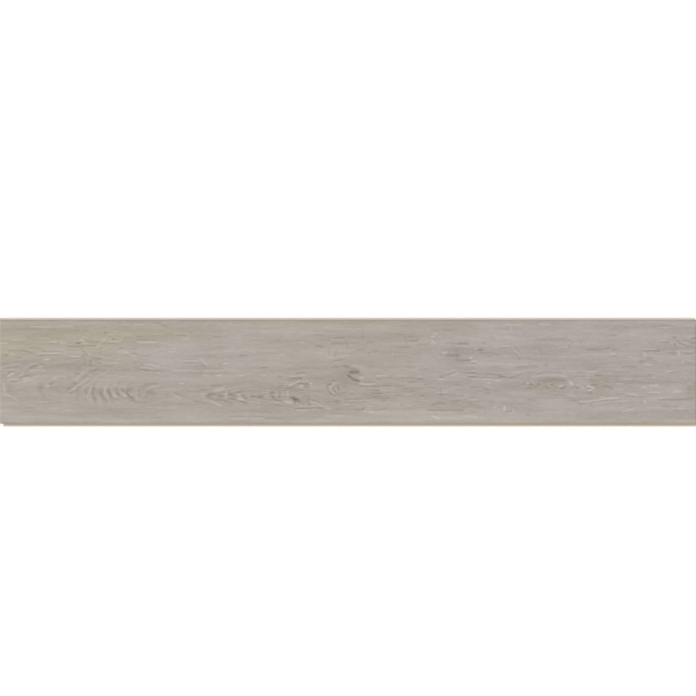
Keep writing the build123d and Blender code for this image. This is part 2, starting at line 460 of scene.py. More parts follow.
LENS_STROKES = (
    *dashes(-2.6, 0.75, (372.5, 467.8, 475), (384.2, 590, 596), (388, 588, 590), (391.4, 588, 591)),
    *dashes(-2.1, 0.75, (376.1, 467.8, 475), (377, 440, 443), (378.6, 418, 423), (403, 580, 590)),
    *strokes(-2.1, 1.1, (659, 399, 680, 399, 692, 397.6), (561.5, 387.5, 565, 386.6)),
    *dashes(-1.7, 0.75, (368.9, 419.5, 427.5), (375.8, 575, 585), (384.6, 551, 551.5), (390, 409.5, 419),
        (396, 625, 643), (402.2, 447, 457)),
    *strokes(-1.7, 0.75, (468, 376, 476, 376.3, 500, 377.3), (591, 402, 604, 399.9, 617, 399.6),
        (583, 385, 585, 387), (424, 384, 430, 383.3), (568.4, 344, 568.4, 346.5),
        (514.8, 347.5, 519, 350.5), (505, 411, 513, 410.3)),
    *dashes(-1.7, 1.1, (374.5, 595, 600), (375.8, 500, 503.5), (383.8, 538, 538.5), (384, 530.5, 531),
        (387.5, 547, 547.5)),
    *strokes(-1.7, 1.1, (460, 372, 470, 373, 485, 373.4, 500, 374.5), (440, 375.6, 447, 374, 455, 372),
        (471, 387, 480, 386, 487, 389), (574, 384.5, 576, 387), (577.5, 388, 580, 386),
        (603, 386, 606, 385.6, 611, 387.6)),
    *dashes(-1.3, 0.75, (337.3, 563, 567), (337.3, 583, 588), (346.5, 580, 585), (346.8, 498, 509),
        (367.4, 471, 473), (369, 588, 595), (372, 578, 582), (380.5, 535, 537), (382.4, 523.2, 524),
        (383.2, 523, 524), (383.2, 538, 538.6), (383.7, 530.2, 531), (383.9, 550.3, 550.8),
        (384.5, 545, 545.5), (386.6, 547, 547.5), (389.4, 455, 464), (392.8, 538, 545), (393.6, 440.5, 447),
        (395.2, 448, 463), (396.5, 470, 476), (411.3, 471.5, 476.5), (412.3, 500, 506)),
    *strokes(-1.3, 0.75, (485.5, 392, 489.5, 393.5)),
    *dashes(-1.3, 1.1, (338.8, 536, 564), (365, 545, 545.5), (386.6, 571, 572), (386.8, 576, 578),
        (387.8, 527, 530)),
    *strokes(-1.3, 1.1, (500, 376, 510, 377.5, 518, 375, 521, 372, 535, 371),
        (538, 373, 545, 371, 560, 372), (575, 392, 590, 393), (590, 404, 593, 407.5),
        (596, 375, 615, 375.5, 650, 376)),
    *strokes(-1.3, 1.6, (517, 367, 522, 367, 535, 366)),
    *strokes(-0.9, 1.1, (533, 387, 537, 386), (553.5, 385, 554.5, 389), (511, 349, 519, 358),
        (539, 343, 541, 354), (546, 357, 546, 364), (484.5, 409, 484.5, 412.3), (580, 340, 580, 343.5),
        (580.5, 404, 580.5, 408)),
    *dashes(-0.9, 1.6, (366, 493, 499), (399, 528, 535), (403, 490.5, 491.5)),
    *strokes(-0.9, 1.6, (555, 394, 565, 396, 574, 400)),
    *strokes(-0.9, 2.1, (540, 380, 552, 378.5, 564, 380), (470, 403, 480, 407)),
    *dashes(1.2, 0.75, (342.7, 575, 579), (380.2, 531, 531.5), (383, 527, 527.5), (386, 520, 524),
        (397.2, 600, 668), (397.5, 419, 424), (411.3, 428, 432)),
    *strokes(1.2, 0.75, (516, 373, 520, 371, 535, 369.5), (521, 381, 521, 383), (546.5, 384, 549, 383),
        (513, 350, 519, 354)),
    *dashes(1.2, 1.1, (336.3, 505, 511), (402.6, 532.5, 533.5)),
    *strokes(1.2, 1.1, (532, 377, 540, 375, 555, 374.5, 565, 376, 568, 380, 572, 384), (570, 381, 572, 385),
        (510.7, 327.5, 510.7, 331.5)),
    *dashes(1.7, 0.75, (376.2, 418, 421), (377.4, 575, 588), (378.8, 439, 443), (379, 472, 491),
        (382.5, 526.6, 527), (382.5, 532.4, 532.8), (385.3, 548.8, 549.2), (388.9, 409.5, 419),
        (399.2, 468, 476), (401, 447, 459.5), (410.2, 481.5, 483)),
    *strokes(1.7, 0.75, (452, 369, 455, 370)),
    *dashes(1.7, 1.1, (406.7, 493.5, 494.5)),
    *strokes(1.7, 1.1, (559, 386, 562, 385)),
    *dashes(2.3, 0.75, (371, 588, 595), (374.2, 468, 475), (380, 495, 500), (410.3, 513.3, 513.8)),
    *strokes(2.3, 0.75, (451, 375, 454, 374, 457, 372)),
    *dashes(2.3, 1.1, (401, 581, 589)),
    *strokes(2.3, 1.1, (627, 393, 632, 393.5, 637, 395)),
    *dashes(3, 0.75, (383.2, 570.6, 571.2), (386, 560, 561), (392, 648, 659)),
    *strokes(3, 0.75, (591, 400, 597, 400, 605, 398.4, 617, 398)),
    *dashes(4.4, 0.75, (382.5, 487.8, 488.3)),
    *strokes(4.4, 0.75, (588, 385.6, 593.5, 387.3, 588, 390)),
)

PORE_STROKES = (
    *dashes(-3.2, 1.1, (332.2, 104.6, 105.2), (337.1, 673.5, 674), (337.8, 692, 696), (342.5, 76, 79)),
    *dashes(-2.6, 0.75, (340, 684, 688), (346, 68, 83), (350.5, 643, 659), (352, 368, 368.5)),
    *strokes(-2.6, 0.75, (677, 340, 679, 343, 683, 344), (674.5, 344, 674.5, 345)),
    *dashes(-2.1, 0.75, (339.5, 568, 569), (341.7, 660, 667), (345.1, 83.5, 95), (347, 99.8, 101),
        (348, 604, 608), (350.9, 42.5, 56.5), (357, 16.5, 19.5), (360.6, 639, 655), (363, 684, 693),
        (367, 262, 267), (388.1, 403, 419), (395, 420, 423), (400.5, 447, 459), (407, 627, 631)),
    *strokes(-2.1, 0.75, (96, 361, 100, 363)),
    *dashes(-2.1, 1.1, (342, 690, 696), (358.2, 647, 651), (362.5, 133.5, 134.5)),
    *strokes(-2.1, 1.1, (428, 409.5, 447, 409.6, 462, 409.5), (90, 360.8, 90, 363)),
    *dashes(-1.7, 0.75, (334, 315, 323), (334.3, 105.2, 105.6), (335.5, 604, 609), (336, 109.2, 109.8),
        (336, 137, 141), (337.5, 335, 343), (339, 112, 112.6), (346.8, 396, 409), (348, 81.2, 81.6),
        (349, 611.5, 615.5), (352.8, 131.5, 135), (353, 667.5, 675.5), (353.2, 685, 692), (355, 82.8, 83.2),
        (355, 240, 247), (356, 611, 616), (359, 184, 197), (360.9, 108, 114), (362, 184, 197),
        (366, 332, 338), (372.5, 667.5, 671.5), (380.4, 590, 597), (381.8, 409, 415), (405.8, 660, 676),
        (409.6, 674, 688)),
    *strokes(-1.7, 0.75, (198, 361, 205, 367), (133, 366.5, 146, 369.4, 160, 370.5), (418, 344, 428, 343),
        (440, 387, 440, 395), (38, 355, 44, 354.6, 62, 354), (137, 339, 156, 340)),
    *dashes(-1.7, 1.1, (334.8, 611, 615), (349.2, 588, 601), (354.7, 5, 6), (366.2, 622, 633)),
    *strokes(-1.7, 1.1, (527, 414, 528, 415), (21.5, 350, 25.5, 350.5, 31.5, 352.3),
        (92, 357.3, 96, 357.9, 100, 359.2)),
    *strokes(-1.7, 1.6, (433, 404, 438, 402.5, 443, 403)),
    *dashes(-1.3, 0.75, (325, 659.5, 667.5), (329, 610.5, 614.5), (334.4, 176, 185), (336, 213, 219),
        (342.4, 88, 120), (344.9, 59.5, 67.5), (346.9, 60, 66), (348, 119.5, 123.3), (350.1, 7.5, 23.5),
        (351, 239, 247), (357.8, 72, 79), (359, 140, 147), (362.5, 649.5, 655.5), (365.5, 104, 112),
        (368.7, 204, 222), (373.2, 107, 113), (374, 647.5, 653.5), (387, 429, 436), (393.3, 647.5, 658.5),
        (399.8, 41.5, 47.5), (413.5, 328, 342), (416, 232, 262), (417, 154.5, 160.5), (417.8, 264, 280)),
    *strokes(-1.3, 0.75, (111, 338, 114, 339), (140, 355, 147, 356), (184, 388, 190, 391),
        (315, 345, 323, 346.5), (391, 348, 391, 351), (29.5, 347, 36.5, 347, 43.5, 350.5),
        (82, 349, 83.5, 351), (85.5, 352.6, 87, 354.5)),
    *dashes(-1.3, 1.1, (352.7, 68, 71.5), (354.6, 127, 127.6), (369.6, 136, 147)),
    *strokes(-1.3, 1.1, (152, 321.5, 160, 323, 166, 326), (83.5, 351, 85.5, 352.6)),
    *dashes(-0.9, 0.75, (339, 137, 147), (340, 90, 99), (354.7, 288, 318), (374, 180, 196),
        (407.5, 25.5, 33.5), (411, 107.5, 129.5), (418.5, 124.5, 133.5)),
    *strokes(-0.9, 0.75, (101.5, 354.5, 111, 355.7)),
    *dashes(-0.9, 1.1, (330, 76, 77), (330, 85, 86), (347.8, 133, 133.6), (349, 68, 79.5),
        (369.4, 122, 129), (402.5, 44.5, 59.5)),
    *strokes(-0.9, 1.1, (293, 334, 298, 330.5), (271, 342, 278, 340, 281, 336), (688, 386, 688, 392)),
    *strokes(-0.9, 1.6, (84.5, 360, 84.5, 363)),
    *dashes(1.2, 0.75, (333.4, 126, 131), (337.5, 39.5, 49.5), (338.9, 120, 121.6), (352.8, 102, 108),
        (360, 140, 143.3), (405, 25.5, 33.5), (407, 146, 163), (407.5, 49.5, 57.5)),
    *strokes(1.2, 0.75, (97, 361, 115, 362), (60, 407, 69, 410), (110, 335, 116, 337, 121, 338.3)),
    *dashes(1.2, 1.1, (355.6, 68, 71.3)),
    *dashes(1.7, 0.75, (324, 133, 143), (324, 505, 520), (324.1, 121, 128), (325.5, 59, 72),
        (326.2, 30, 40), (326.5, 39.5, 49.5), (327, 659.5, 667.5), (333.2, 175, 187), (333.5, 154, 162),
        (338.7, 103, 105.5), (339, 11.5, 24.5), (339, 94, 105), (339, 331, 342), (339.8, 659, 665),
        (340, 73, 77), (341, 100, 120), (341, 109, 119), (345.9, 60, 66), (348.6, 643.5, 655.5),
        (351, 169, 174), (351, 677.5, 691.5), (352, 5, 6), (352.8, 38, 60), (353, 611.5, 614.5),
        (353.8, 279, 284), (359, 72, 78.3), (360.5, 184, 197), (361.5, 645.5, 653.5), (361.9, 108, 116.5),
        (370, 204, 222), (370, 252, 259), (370.5, 667.5, 671.5), (383.2, 616, 623), (401.5, 40, 47),
        (407, 167, 175), (408.5, 675.5, 689.5), (410.5, 621.5, 627.5), (418, 231, 262)),
    *strokes(1.7, 0.75, (200, 357, 207, 365), (140, 367, 158, 368.4), (173, 370, 186, 370, 198, 371),
        (242, 374, 252, 373), (392, 353, 392, 355), (449, 398.6, 465, 397.6), (83.5, 349.5, 89.5, 354.5)),
    *dashes(1.7, 1.1, (323.8, 540, 549)),
    *strokes(1.7, 1.1, (119, 352, 124, 351, 128, 353), (183, 339, 188, 338), (464, 415.5, 475, 416.5),
        (630, 357, 637, 358)),
    *dashes(2.3, 0.75, (338.9, 109.3, 109.8), (341.5, 49.5, 55.5), (341.6, 138, 156), (342, 300, 303),
        (343, 60, 66), (343.4, 84.5, 100.5), (346, 96, 103), (346.5, 559, 567), (355, 131.5, 134.3),
        (379, 619, 630), (383.5, 688, 691), (386.5, 642.5, 645.5), (392, 436, 447), (409, 627, 632)),
    *strokes(2.3, 0.75, (144, 364, 151, 364.4, 158, 366), (158, 372, 159, 373), (569, 412, 574, 414),
        (677, 343.5, 682, 345.6)),
    *dashes(2.3, 1.1, (384.8, 650, 657), (390.8, 674, 679)),
    *strokes(2.3, 1.1, (433, 416, 438, 418)),
    *dashes(3, 0.75, (336, 122.2, 122.8), (342.5, 568, 568.5), (342.6, 0, 6), (356, 72, 79),
        (363, 223, 227), (364, 643, 651), (375, 215, 221), (383.2, 180, 182)),
    *strokes(3, 0.75, (513, 409, 513, 411), (643, 352, 645, 354.5), (682, 361, 683, 362)),
    *strokes(3, 1.1, (504, 407, 504, 409), (678, 352, 679, 354), (644, 401, 645, 402)),
    *dashes(4.4, 0.75, (359, 44, 49)),
    *strokes(4.4, 0.75, (80, 339, 83, 340)),
)


@dataclass(frozen=True)
class OakFigure:
    """The growth rings as the face cuts them, and the colour zones, knots and pores of the print."""

    photo: PhotoFrame = PhotoFrame()
    heart_line: Track = Track(
        stations_px=(0, 67, 84, 130, 160, 200, 262, 300, 340, 400, 470, 522, 567, 612, 696),
        values=(391, 391, 388.5, 387.5, 391, 394.5, 396, 396, 393, 391, 389, 388, 387, 388, 391),
    )
    pith_depth: Track = Track(  # in rings
        stations_px=(-40, 0, 67, 84, 124, 150, 198, 262, 285, 330, 430, 480, 522, 567, 612, 650, 740),
        values=(24, 20.5, 16, 14, 9, 7.4, 6.3, 1.2, 0.4, 0.2, 0.4, 1.7, 3.2, 0.4, 3.0, 4.2, 5.0),
        smoothing_px=5.0,
    )
    ring_above_px: Track = Track(stations_px=(0, 100, 200, 430, 696), values=(1.7, 1.6, 2.0, 2.3, 2.4))
    ring_below_px: Track = Track(
        stations_px=(0, 84, 150, 200, 300, 430, 567, 696),
        values=(2.3, 2.4, 2.5, 2.6, 2.4, 2.1, 2.5, 2.5),
    )
    squareness: Track = Track(
        stations_px=(0, 140, 200, 262, 330, 696),
        values=(3.0, 2.8, 1.7, 1.6, 2.2, 2.2),
    )
    ring_spread_px: float = 95.0  # this far from the heart line the rings stand twice as wide
    ring_wavers: tuple[Waver, ...] = (Waver(46.0, 11.0, 0.55, seed=11), Waver(17.0, 7.0, 0.33, seed=12))
    full_waver_px: float = 26.0  # this far from the heart line the rings waver fully
    least_waver: float = 0.25  # its share on the heart line
    grain_waver: Waver = Waver(52.0, 16.0, 2.2, seed=41)
    tint_waver_down: Waver = Waver(30.0, 9.0, 2.5, seed=21)
    tint_waver_along: Waver = Waver(22.0, 6.0, 5.0, seed=22)
    fading: Waver = Waver(8.0, 5.0, 0.6, seed=23)
    mean_fading: float = 0.72
    least_figure: float = 0.05
    most_figure: float = 1.1
    least_pores: float = 0.5
    pressed_pores: Waver = Waver(9.0 * MM, 2.2 * MM, 1.0, seed=31)
    pore_start: float = 0.25
    pore_full: float = 0.75
    full_dark: float = 3.0  # a mark this dark is pressed in fully
    ring_press: float = 0.45
    pore_press: float = 0.45
    dark_press: float = 0.4
    knots: tuple[Patch, ...] = (
        *ovals(1.3, (334, 387.5, 7.5, 6.5, 1.2)),
        *ovals(1.7, (356, 373, 17, 9, 3.2, -20)),
        *ovals(2, (296, 399.5, 9, 5, 1.6), (304, 380, 10, 7, 2.2, 20), (457, 353, 15, 12, 2.0),
            (105, 336, 9, 5, 1.2)),
    )
    parted: tuple[Patch, ...] = (
        *ovals(2, (334, 387.5, 14, 10, 0.6), (356, 376, 24, 14, 0.75), (298, 399.5, 16, 9, 0.65),
            (304, 380, 16, 10, 0.4), (457, 353, 22, 16, 0.6), (105, 336, 14, 7, 0.5),
            (96, 392, 44, 26, 0.35), (230, 396, 40, 14, 0.35), (567, 386, 62, 20, 0.45)),
    )
    figured: tuple[Patch, ...] = (
        *ovals(2, (158, 394, 22, 9, 0.45), (85, 350, 50, 14, 0.12)),
        *ovals(3, (90, 372, 32, 12, 0.28, 28), (22, 376, 34, 14, 0.16, 16), (290, 390, 28, 16, 0.4),
            (334, 387.5, 9, 9, 0.3), (395, 397, 52, 15, 0.35), (640, 399, 75, 7, 0.3),
            (490, 374, 45, 6, 0.3)),
        *ovals(4, (112, 393, 36, 11, 0.66), (230, 396, 40, 10, 0.5), (567, 387, 52, 14, 0.2)),
    )
    olive: tuple[Patch, ...] = (
        *ovals(2, (260, 346, 9, 7, 0.35), (604, 384, 16, 9, 0.4), (694, 387, 9, 12, 0.5)),
        *ovals(3, (98, 351, 30, 11, 0.5), (0, 357, 45, 12, 0.45), (545, 387, 24, 8, 0.6)),
        *ovals(4, (10, 337, 100, 17, 0.95), (130, 334, 75, 9, 0.95), (318, 323, 85, 4, 0.7),
            (560, 420, 150, 4, 0.3)),
    )
    lilac: tuple[Patch, ...] = (
        *ovals(3, (172, 362, 24, 17, 0.9), (238, 350, 18, 20, 0.9), (180, 350, 50, 8, 0.5)),
        *ovals(4, (120, 323, 150, 4, 0.6)),
        *ovals(8, (610, 365, 192, 62, 1.0)),
    )
    shades: tuple[Patch, ...] = (
        *ovals(2, (346, 370, 7, 6, -0.7), (294, 396, 8, 4, -0.5), (445, 362, 16, 5, -0.4),
            (30, 388, 12, 9, 0.35), (597, 386.8, 9, 4.2, -1.6), (306, 401, 6, 4, -0.7),
            (268, 342, 20, 10, 0.3), (37.5, 375.5, 4, 3, 0.35), (696, 372, 40, 60, -0.25),
            (60, 372, 60, 20, -0.15), (392, 383, 12, 3, -0.5), (678, 384, 8, 6, 0.6),
            (690, 390, 8, 6, -0.8), (400, 372, 60, 8, 0.3), (640, 335, 40, 10, 0.2), (562, 358, 26, 6, 0.5),
            (276, 372, 15, 7, 0.55), (362, 372, 13, 7, -0.5), (333, 398, 16, 9, -0.5),
            (232, 401, 32, 6, 0.45), (440, 386, 28, 6, -0.3), (652, 372, 30, 8, -0.3),
            (463, 347.5, 9, 4.5, 0.6)),
        *ovals(3, (348, 386, 420, 17, -0.3), (343, 377, 15, 13, -0.75), (110, 393, 36, 10, -0.4),
            (458, 353, 14, 14, -0.9), (40, 334, 13, 2.5, -0.5), (552, 381, 14, 4, -0.45),
            (545, 387, 26, 5, -0.5), (150, 396, 24, 8, -0.55), (118, 394, 24, 8, -0.3),
            (237, 397, 22, 6, -0.5), (168, 352, 25, 17, 0.3), (238, 350, 18, 20, 0.3),
            (30, 414, 50, 7, 0.3), (39.8, 387, 3.4, 6.5, -1.1), (430, 415, 60, 7, 0.45),
            (556, 404, 22, 10, 0.45), (460, 381, 12, 4, -0.6), (465, 329, 105, 7, 0.45),
            (60, 329, 60, 7, -0.3), (583, 344, 95, 7, -0.55), (87, 364, 31, 13, -0.5),
            (165, 343, 50, 7, 0.4), (108, 414, 48, 7, -0.55), (565, 414, 46, 7, 0.4),
            (267.5, 392, 2.6, 8, 0.35)),
        *ovals(4, (58, 332, 10, 5, -0.5), (348, 421, 420, 3.5, 0.6), (348, 325, 420, 3, 0.3),
            (556, 345, 20, 6, -0.3)),
    )
    strokes: tuple[Stroke, ...] = (
        FLAME_STROKES + VEE_STROKES + KNOT_STROKES + LENS_STROKES + PORE_STROKES
    )
    porous: tuple[Patch, ...] = (
        *ovals(3, (90, 348, 75, 22, 0.9), (640, 345, 75, 25, 0.9), (650, 395, 70, 28, 0.8),
            (410, 395, 60, 18, 0.7), (235, 352, 35, 18, 0.6), (150, 362, 40, 16, 0.6),
            (300, 408, 60, 8, 0.6)),
    )

    def grain(self, px: Array, py: Array) -> Array:
        """Tells the lines of the grain apart, which run along the plank and part round the knots.

        It is the pixel row, less a share of the distance from each knot's middle that fades
        outwards like a bell, plus a slow waver.

        Args:
            px: pixel columns.
            py: pixel rows.

        Returns:
            The grain line through each place, in pixels.
        """
        line = py + self.grain_waver.at(px, py)
        for knot in self.parted:
            line = line - (py - knot.y_px) * knot.weight(px, py)
        return line

    def rings(self, px: Array, py: Array) -> Array:
        """Counts the growth rings from the pith out to each place on the face.

        The distance from the heart line is turned into rings at the spacing of its side of the
        line, closer by the line than far from it. That and the pith's depth are each raised to a
        power, added, and the root taken: 2 gives round tips, less pointed ones, more blunt ones.
        Knots and a slow waver add to the count, and crowd or part the rings there.

        Args:
            px: pixel columns.
            py: pixel rows.

        Returns:
            The ring count at each place.
        """
        offset = self.heart_line.at(px) - py
        spacing = np.where(offset > 0, self.ring_above_px.at(px), self.ring_below_px.at(px))
        spacing = spacing * (1.0 + np.abs(offset) / self.ring_spread_px)
        power = self.squareness.at(px)
        count = (np.abs(offset / spacing) ** power + self.pith_depth.at(px) ** power) ** (1.0 / power)
        waver = sum(part.at(px, py) for part in self.ring_wavers)
        calm = np.clip(np.abs(offset) / self.full_waver_px, self.least_waver, 1.0)
        return count + calm * waver + self._sum(self.knots, px, py)

    def fields(self, x: Array, y: Array) -> dict[GrainField, Array]:
        """Works out what the face's materials read at each place.

        The figure's strength wavers, and the tinted zones are read at wavering places, so that
        neither ends in a smooth line.

        Args:
            x: metres along the plank.
            y: metres across the plank.

        Returns:
            One array for each member of GrainField.
        """
        px, py = self.photo.to_pixels(x, y)
        tint_px = px + self.tint_waver_along.at(px, py)
        tint_py = py + self.tint_waver_down.at(px, py)
        figure = self.least_figure + self._sum(self.figured, px, py)
        fading = self.mean_fading + self.fading.at(px, py)
        return {
            GrainField.GRAIN: self.grain(px, py) * self.photo.scale,
            GrainField.RINGS: self.rings(px, py),
            GrainField.FIGURE: np.clip(figure * fading, 0.0, self.most_figure),
            GrainField.OLIVE: np.clip(self._sum(self.olive, tint_px, tint_py), 0.0, 1.0),
            GrainField.LILAC: np.clip(self._sum(self.lilac, tint_px, tint_py), 0.0, 1.0),
            GrainField.SHADE: self._sum(self.shades + self.strokes, px, py),
            GrainField.PORES: np.clip(self.least_pores + self._sum(self.porous, px, py), 0.0, 1.0),
        }

    def relief(self, x: Array, y: Array) -> Array:
        """Depth of the press plate's mark: hollows between the late wood, open pores, dark marks.

        The ring part is a raised cosine of the ring count where the figure is strong. The pore
        part is long thin value noise along the grain lines, kept where it is over a threshold.
        The dark part is the shade of the knots and dark strokes, up to a full depth.

        Args:
            x: metres along the plank.
            y: metres across the plank.

        Returns:
            Depth below the face at each place, from 0 to 1.
        """
        fields = self.fields(x, y)
        hollow = (0.5 - 0.5 * np.cos(2 * np.pi * fields[GrainField.RINGS])) * fields[GrainField.FIGURE]
        noise = self.pressed_pores.at(x, fields[GrainField.GRAIN])
        pores = np.clip((noise - self.pore_start) / (self.pore_full - self.pore_start), 0.0, 1.0)
        pores = pores * fields[GrainField.PORES]
        dark = np.clip(-fields[GrainField.SHADE] / self.full_dark, 0.0, 1.0)
        depth = self.ring_press * hollow + self.pore_press * pores + self.dark_press * dark
        return np.clip(depth, 0.0, 1.0)

    @staticmethod
    def _sum(parts: tuple[Patch | Stroke, ...], px: Array, py: Array) -> Array:
        """Adds up the weights of several patches or strokes."""
        return sum(part.weight(px, py) for part in parts)


class NodeGraph:
    """A shader node tree that is written as expressions: each call adds a node and gives its socket."""

    def __init__(self, tree: bpy.types.NodeTree) -> None:
        """Starts in an empty tree of a material, world or group."""
        self.tree = tree
        tree.nodes.clear()

    def add(self, kind: str, **settings: object) -> Node:
        """Adds a node.

        Args:
            kind: the node's class name, without ShaderNode.
            settings: attributes to set on it.

        Returns:
            The new node.
        """
        node = self.tree.nodes.new("ShaderNode" + kind)
        for name, setting in settings.items():
            setattr(node, name, setting)
        return node

    def feed(self, socket: Socket, value: Value) -> None:
        """Links a socket to another one, or sets its own value.

        Args:
            socket: the input.
            value: another node's output, or a number or colour.
        """
        if isinstance(value, Socket):
            self.tree.links.new(value, socket)
        else:
            socket.default_value = value

    def math(self, operation: str, *operands: Value, clamp: bool = False) -> Socket:
        """Adds a Math node.

        Args:
            operation: its operation, such as MULTIPLY.
            operands: what it works on, up to three values.
            clamp: whether the result stays within 0 and 1.

        Returns:
            The result.
        """
        node = self.add("Math", operation=operation, use_clamp=clamp)
        for socket, operand in zip(node.inputs, operands):
            self.feed(socket, operand)
        return node.outputs[0]

    def total(self, *parts: tuple[Socket, float], start: float = 0.0) -> Socket:
        """Adds up several values, each times its share.

        Args:
            parts: the values with their shares.
            start: what the sum starts from.

        Returns:
            The sum.
        """
        result = start
        for part, share in parts:
            result = self.math("MULTIPLY_ADD", part, share, result)
        return result

    def ease(self, value: Socket, low: float, high: float) -> Socket:
        """Maps a range of values onto 0 to 1, eased at both ends and clamped.

        Args:
            value: what is mapped.
            low: where the range starts.
            high: where the range ends.

        Returns:
            The mapped value.
        """
        node = self.add("MapRange", interpolation_type="SMOOTHSTEP")
        for socket, number in zip(node.inputs, (value, low, high, 0.0, 1.0)):
            self.feed(socket, number)
        return node.outputs[0]

    def mix(self, factor: Value, first: Value, second: Value, blend: str = "MIX") -> Socket:
        """Adds a colour Mix node.

        Args:
            factor: share of the second colour.
            first: first colour.
            second: second colour.
            blend: how the two meet, such as MULTIPLY.

        Returns:
            The mixed colour.
        """
        node = self.add("Mix", data_type="RGBA", blend_type=blend)
        self.feed(node.inputs["Factor"], factor)
        self.feed(node.inputs[6], first)
        self.feed(node.inputs[7], second)
        return node.outputs[2]

    def colour(self, red: Value, green: Value, blue: Value) -> Socket:
        """Joins three values into a colour.

        Args:
            red: red channel.
            green: green channel.
            blue: blue channel.

        Returns:
            The colour.
        """
        node = self.add("CombineColor")
        for socket, value in zip(node.inputs, (red, green, blue)):
            self.feed(socket, value)
        return node.outputs[0]

    def noise(self, place: tuple[Value, Value, Value], detail: float, roughness: Value = 0.5) -> Socket:
        """Adds noise of scale one, centred on nought.

        Args:
            place: where it is read, as three coordinates.
            detail: how many finer octaves it has.
            roughness: how strong the finer octaves are.

        Returns:
            The noise, from -0.5 to 0.5.
        """
        vector = self.add("CombineXYZ")
        for socket, value in zip(vector.inputs, place):
            self.feed(socket, value)
        node = self.add("TexNoise", noise_dimensions="3D")
        settings = {"Vector": vector.outputs[0], "Scale": 1.0, "Detail": detail, "Roughness": roughness}
        for name, value in settings.items():
            self.feed(node.inputs[name], value)
        return self.math("SUBTRACT", node.outputs["Fac"], 0.5)

    def bump(self, shader: Node, height: Socket, strength: float, distance: float) -> None:
        """Roughens a shader's surface by a height.

        Args:
            shader: the Principled shader.
            height: the height.
            strength: the Bump node's strength.
            distance: how far one step of height reaches, in metres.
        """
        node = self.add("Bump")
        node.inputs["Strength"].default_value = strength
        node.inputs["Distance"].default_value = distance
        self.feed(node.inputs["Height"], height)
        self.feed(shader.inputs["Normal"], node.outputs[0])

    def field(self, name: GrainField) -> Socket:
        """Reads one of the values that the face carries."""
        return self.add("Attribute", attribute_name=name.value).outputs["Fac"]

    def object_axes(self) -> tuple[Socket, Socket, Socket]:
        """The place on the plank.

        Returns:
            Three sockets, for X, Y and Z.
        """
        node = self.add("SeparateXYZ")
        self.feed(node.inputs[0], self.add("TexCoord").outputs["Object"])
        return node.outputs[0], node.outputs[1], node.outputs[2]

    def group(self, tree: bpy.types.NodeTree, **values: Value) -> Node:
        """Places a node group.

        Args:
            tree: the group.
            values: its inputs, by their names with underscores for spaces.

        Returns:
            The group's node.
        """
        node = self.add("Group", node_tree=tree)
        for name, value in values.items():
            self.feed(node.inputs[name.replace("_", " ")], value)
        return node


def new_group(name: str, inputs: tuple[str, ...], outputs: tuple[str, ...]) -> tuple[NodeGraph, Node, Node]:
    """Makes an empty node group, whose sockets are all numbers.

    Args:
        name: the group's name.
        inputs: names of its inputs.
        outputs: names of its outputs.

    Returns:
        The group's graph, its input node and its output node.
    """
    tree = bpy.data.node_groups.new(name, "ShaderNodeTree")
    for labels, side in ((inputs, "INPUT"), (outputs, "OUTPUT")):
        for label in labels:
            tree.interface.new_socket(label, in_out=side, socket_type="NodeSocketFloat")
    graph = NodeGraph(tree)
    return graph, tree.nodes.new("NodeGroupInput"), tree.nodes.new("NodeGroupOutput")


class SharedEffects:
    """The node groups that more than one material uses, each built once."""

    streak_detail: float = 2.0
    streak_gain: float = 4.0
    fibre_detail: float = 3.0
    fibre_layer_step: float = 7.3  # keeps the two directions of fibres from reading the same noise
    fibre_gain: float = 2.0
    fleck_start: float = 0.16
    fleck_full: float = 0.3

    def __init__(self) -> None:
        """Builds the groups."""
        self.streaks = self._streaks()
        self.speckle = self._speckle()

    def _streaks(self) -> bpy.types.NodeTree:
        """Streaks drawn out along one direction: noise divided by their length and width.

        Returns:
            The group.
        """
        names = ("Along", "Across", "Length", "Width", "Roughness", "Layer")
        graph, given, result = new_group("drawn_out_streaks", names, ("Streak",))
        along = graph.math("DIVIDE", given.outputs["Along"], given.outputs["Length"])
        across = graph.math("DIVIDE", given.outputs["Across"], given.outputs["Width"])
        place = (along, across, given.outputs["Layer"])
        noise = graph.noise(place, self.streak_detail, given.outputs["Roughness"])
        graph.feed(result.inputs["Streak"], graph.math("MULTIPLY", noise, self.streak_gain))
        return graph.tree

    def _speckle(self) -> bpy.types.NodeTree:
        """Short matted fibres: fine noise drawn out in two directions, and the lightest of them.

        Returns:
            The group.
        """
        names = ("Fibre Length", "Fibre Width")
        graph, given, result = new_group("matted_fibres", names, ("Speckle", "Flecks"))
        length, width = (given.outputs[name] for name in names)
        x, y, z = graph.object_axes()
        parts = []
        for layer, (first, second) in enumerate(((x, y), (y, x))):
            along = graph.math("DIVIDE", first, length)
            across = graph.math("DIVIDE", second, width)
            deep = graph.math("ADD", graph.math("DIVIDE", z, width), self.fibre_layer_step * layer)
            parts.append(graph.noise((along, across, deep), self.fibre_detail))
        total = graph.math("ADD", *parts)
        graph.feed(result.inputs["Speckle"], graph.math("MULTIPLY", total, self.fibre_gain))
        graph.feed(result.inputs["Flecks"], graph.ease(total, self.fleck_start, self.fleck_full))
        return graph.tree


def new_material(name: str) -> tuple[bpy.types.Material, NodeGraph, Node]:
    """Makes a material that holds a Principled shader alone.

    Args:
        name: the material's name.

    Returns:
        The material, its graph and its shader.
    """
    material = bpy.data.materials.new(name)
    material.use_nodes = True
    graph = NodeGraph(material.node_tree)
    shader = graph.add("BsdfPrincipled")
    output = graph.add("OutputMaterial")
    graph.feed(output.inputs["Surface"], shader.outputs[0])
    return material, graph, shader


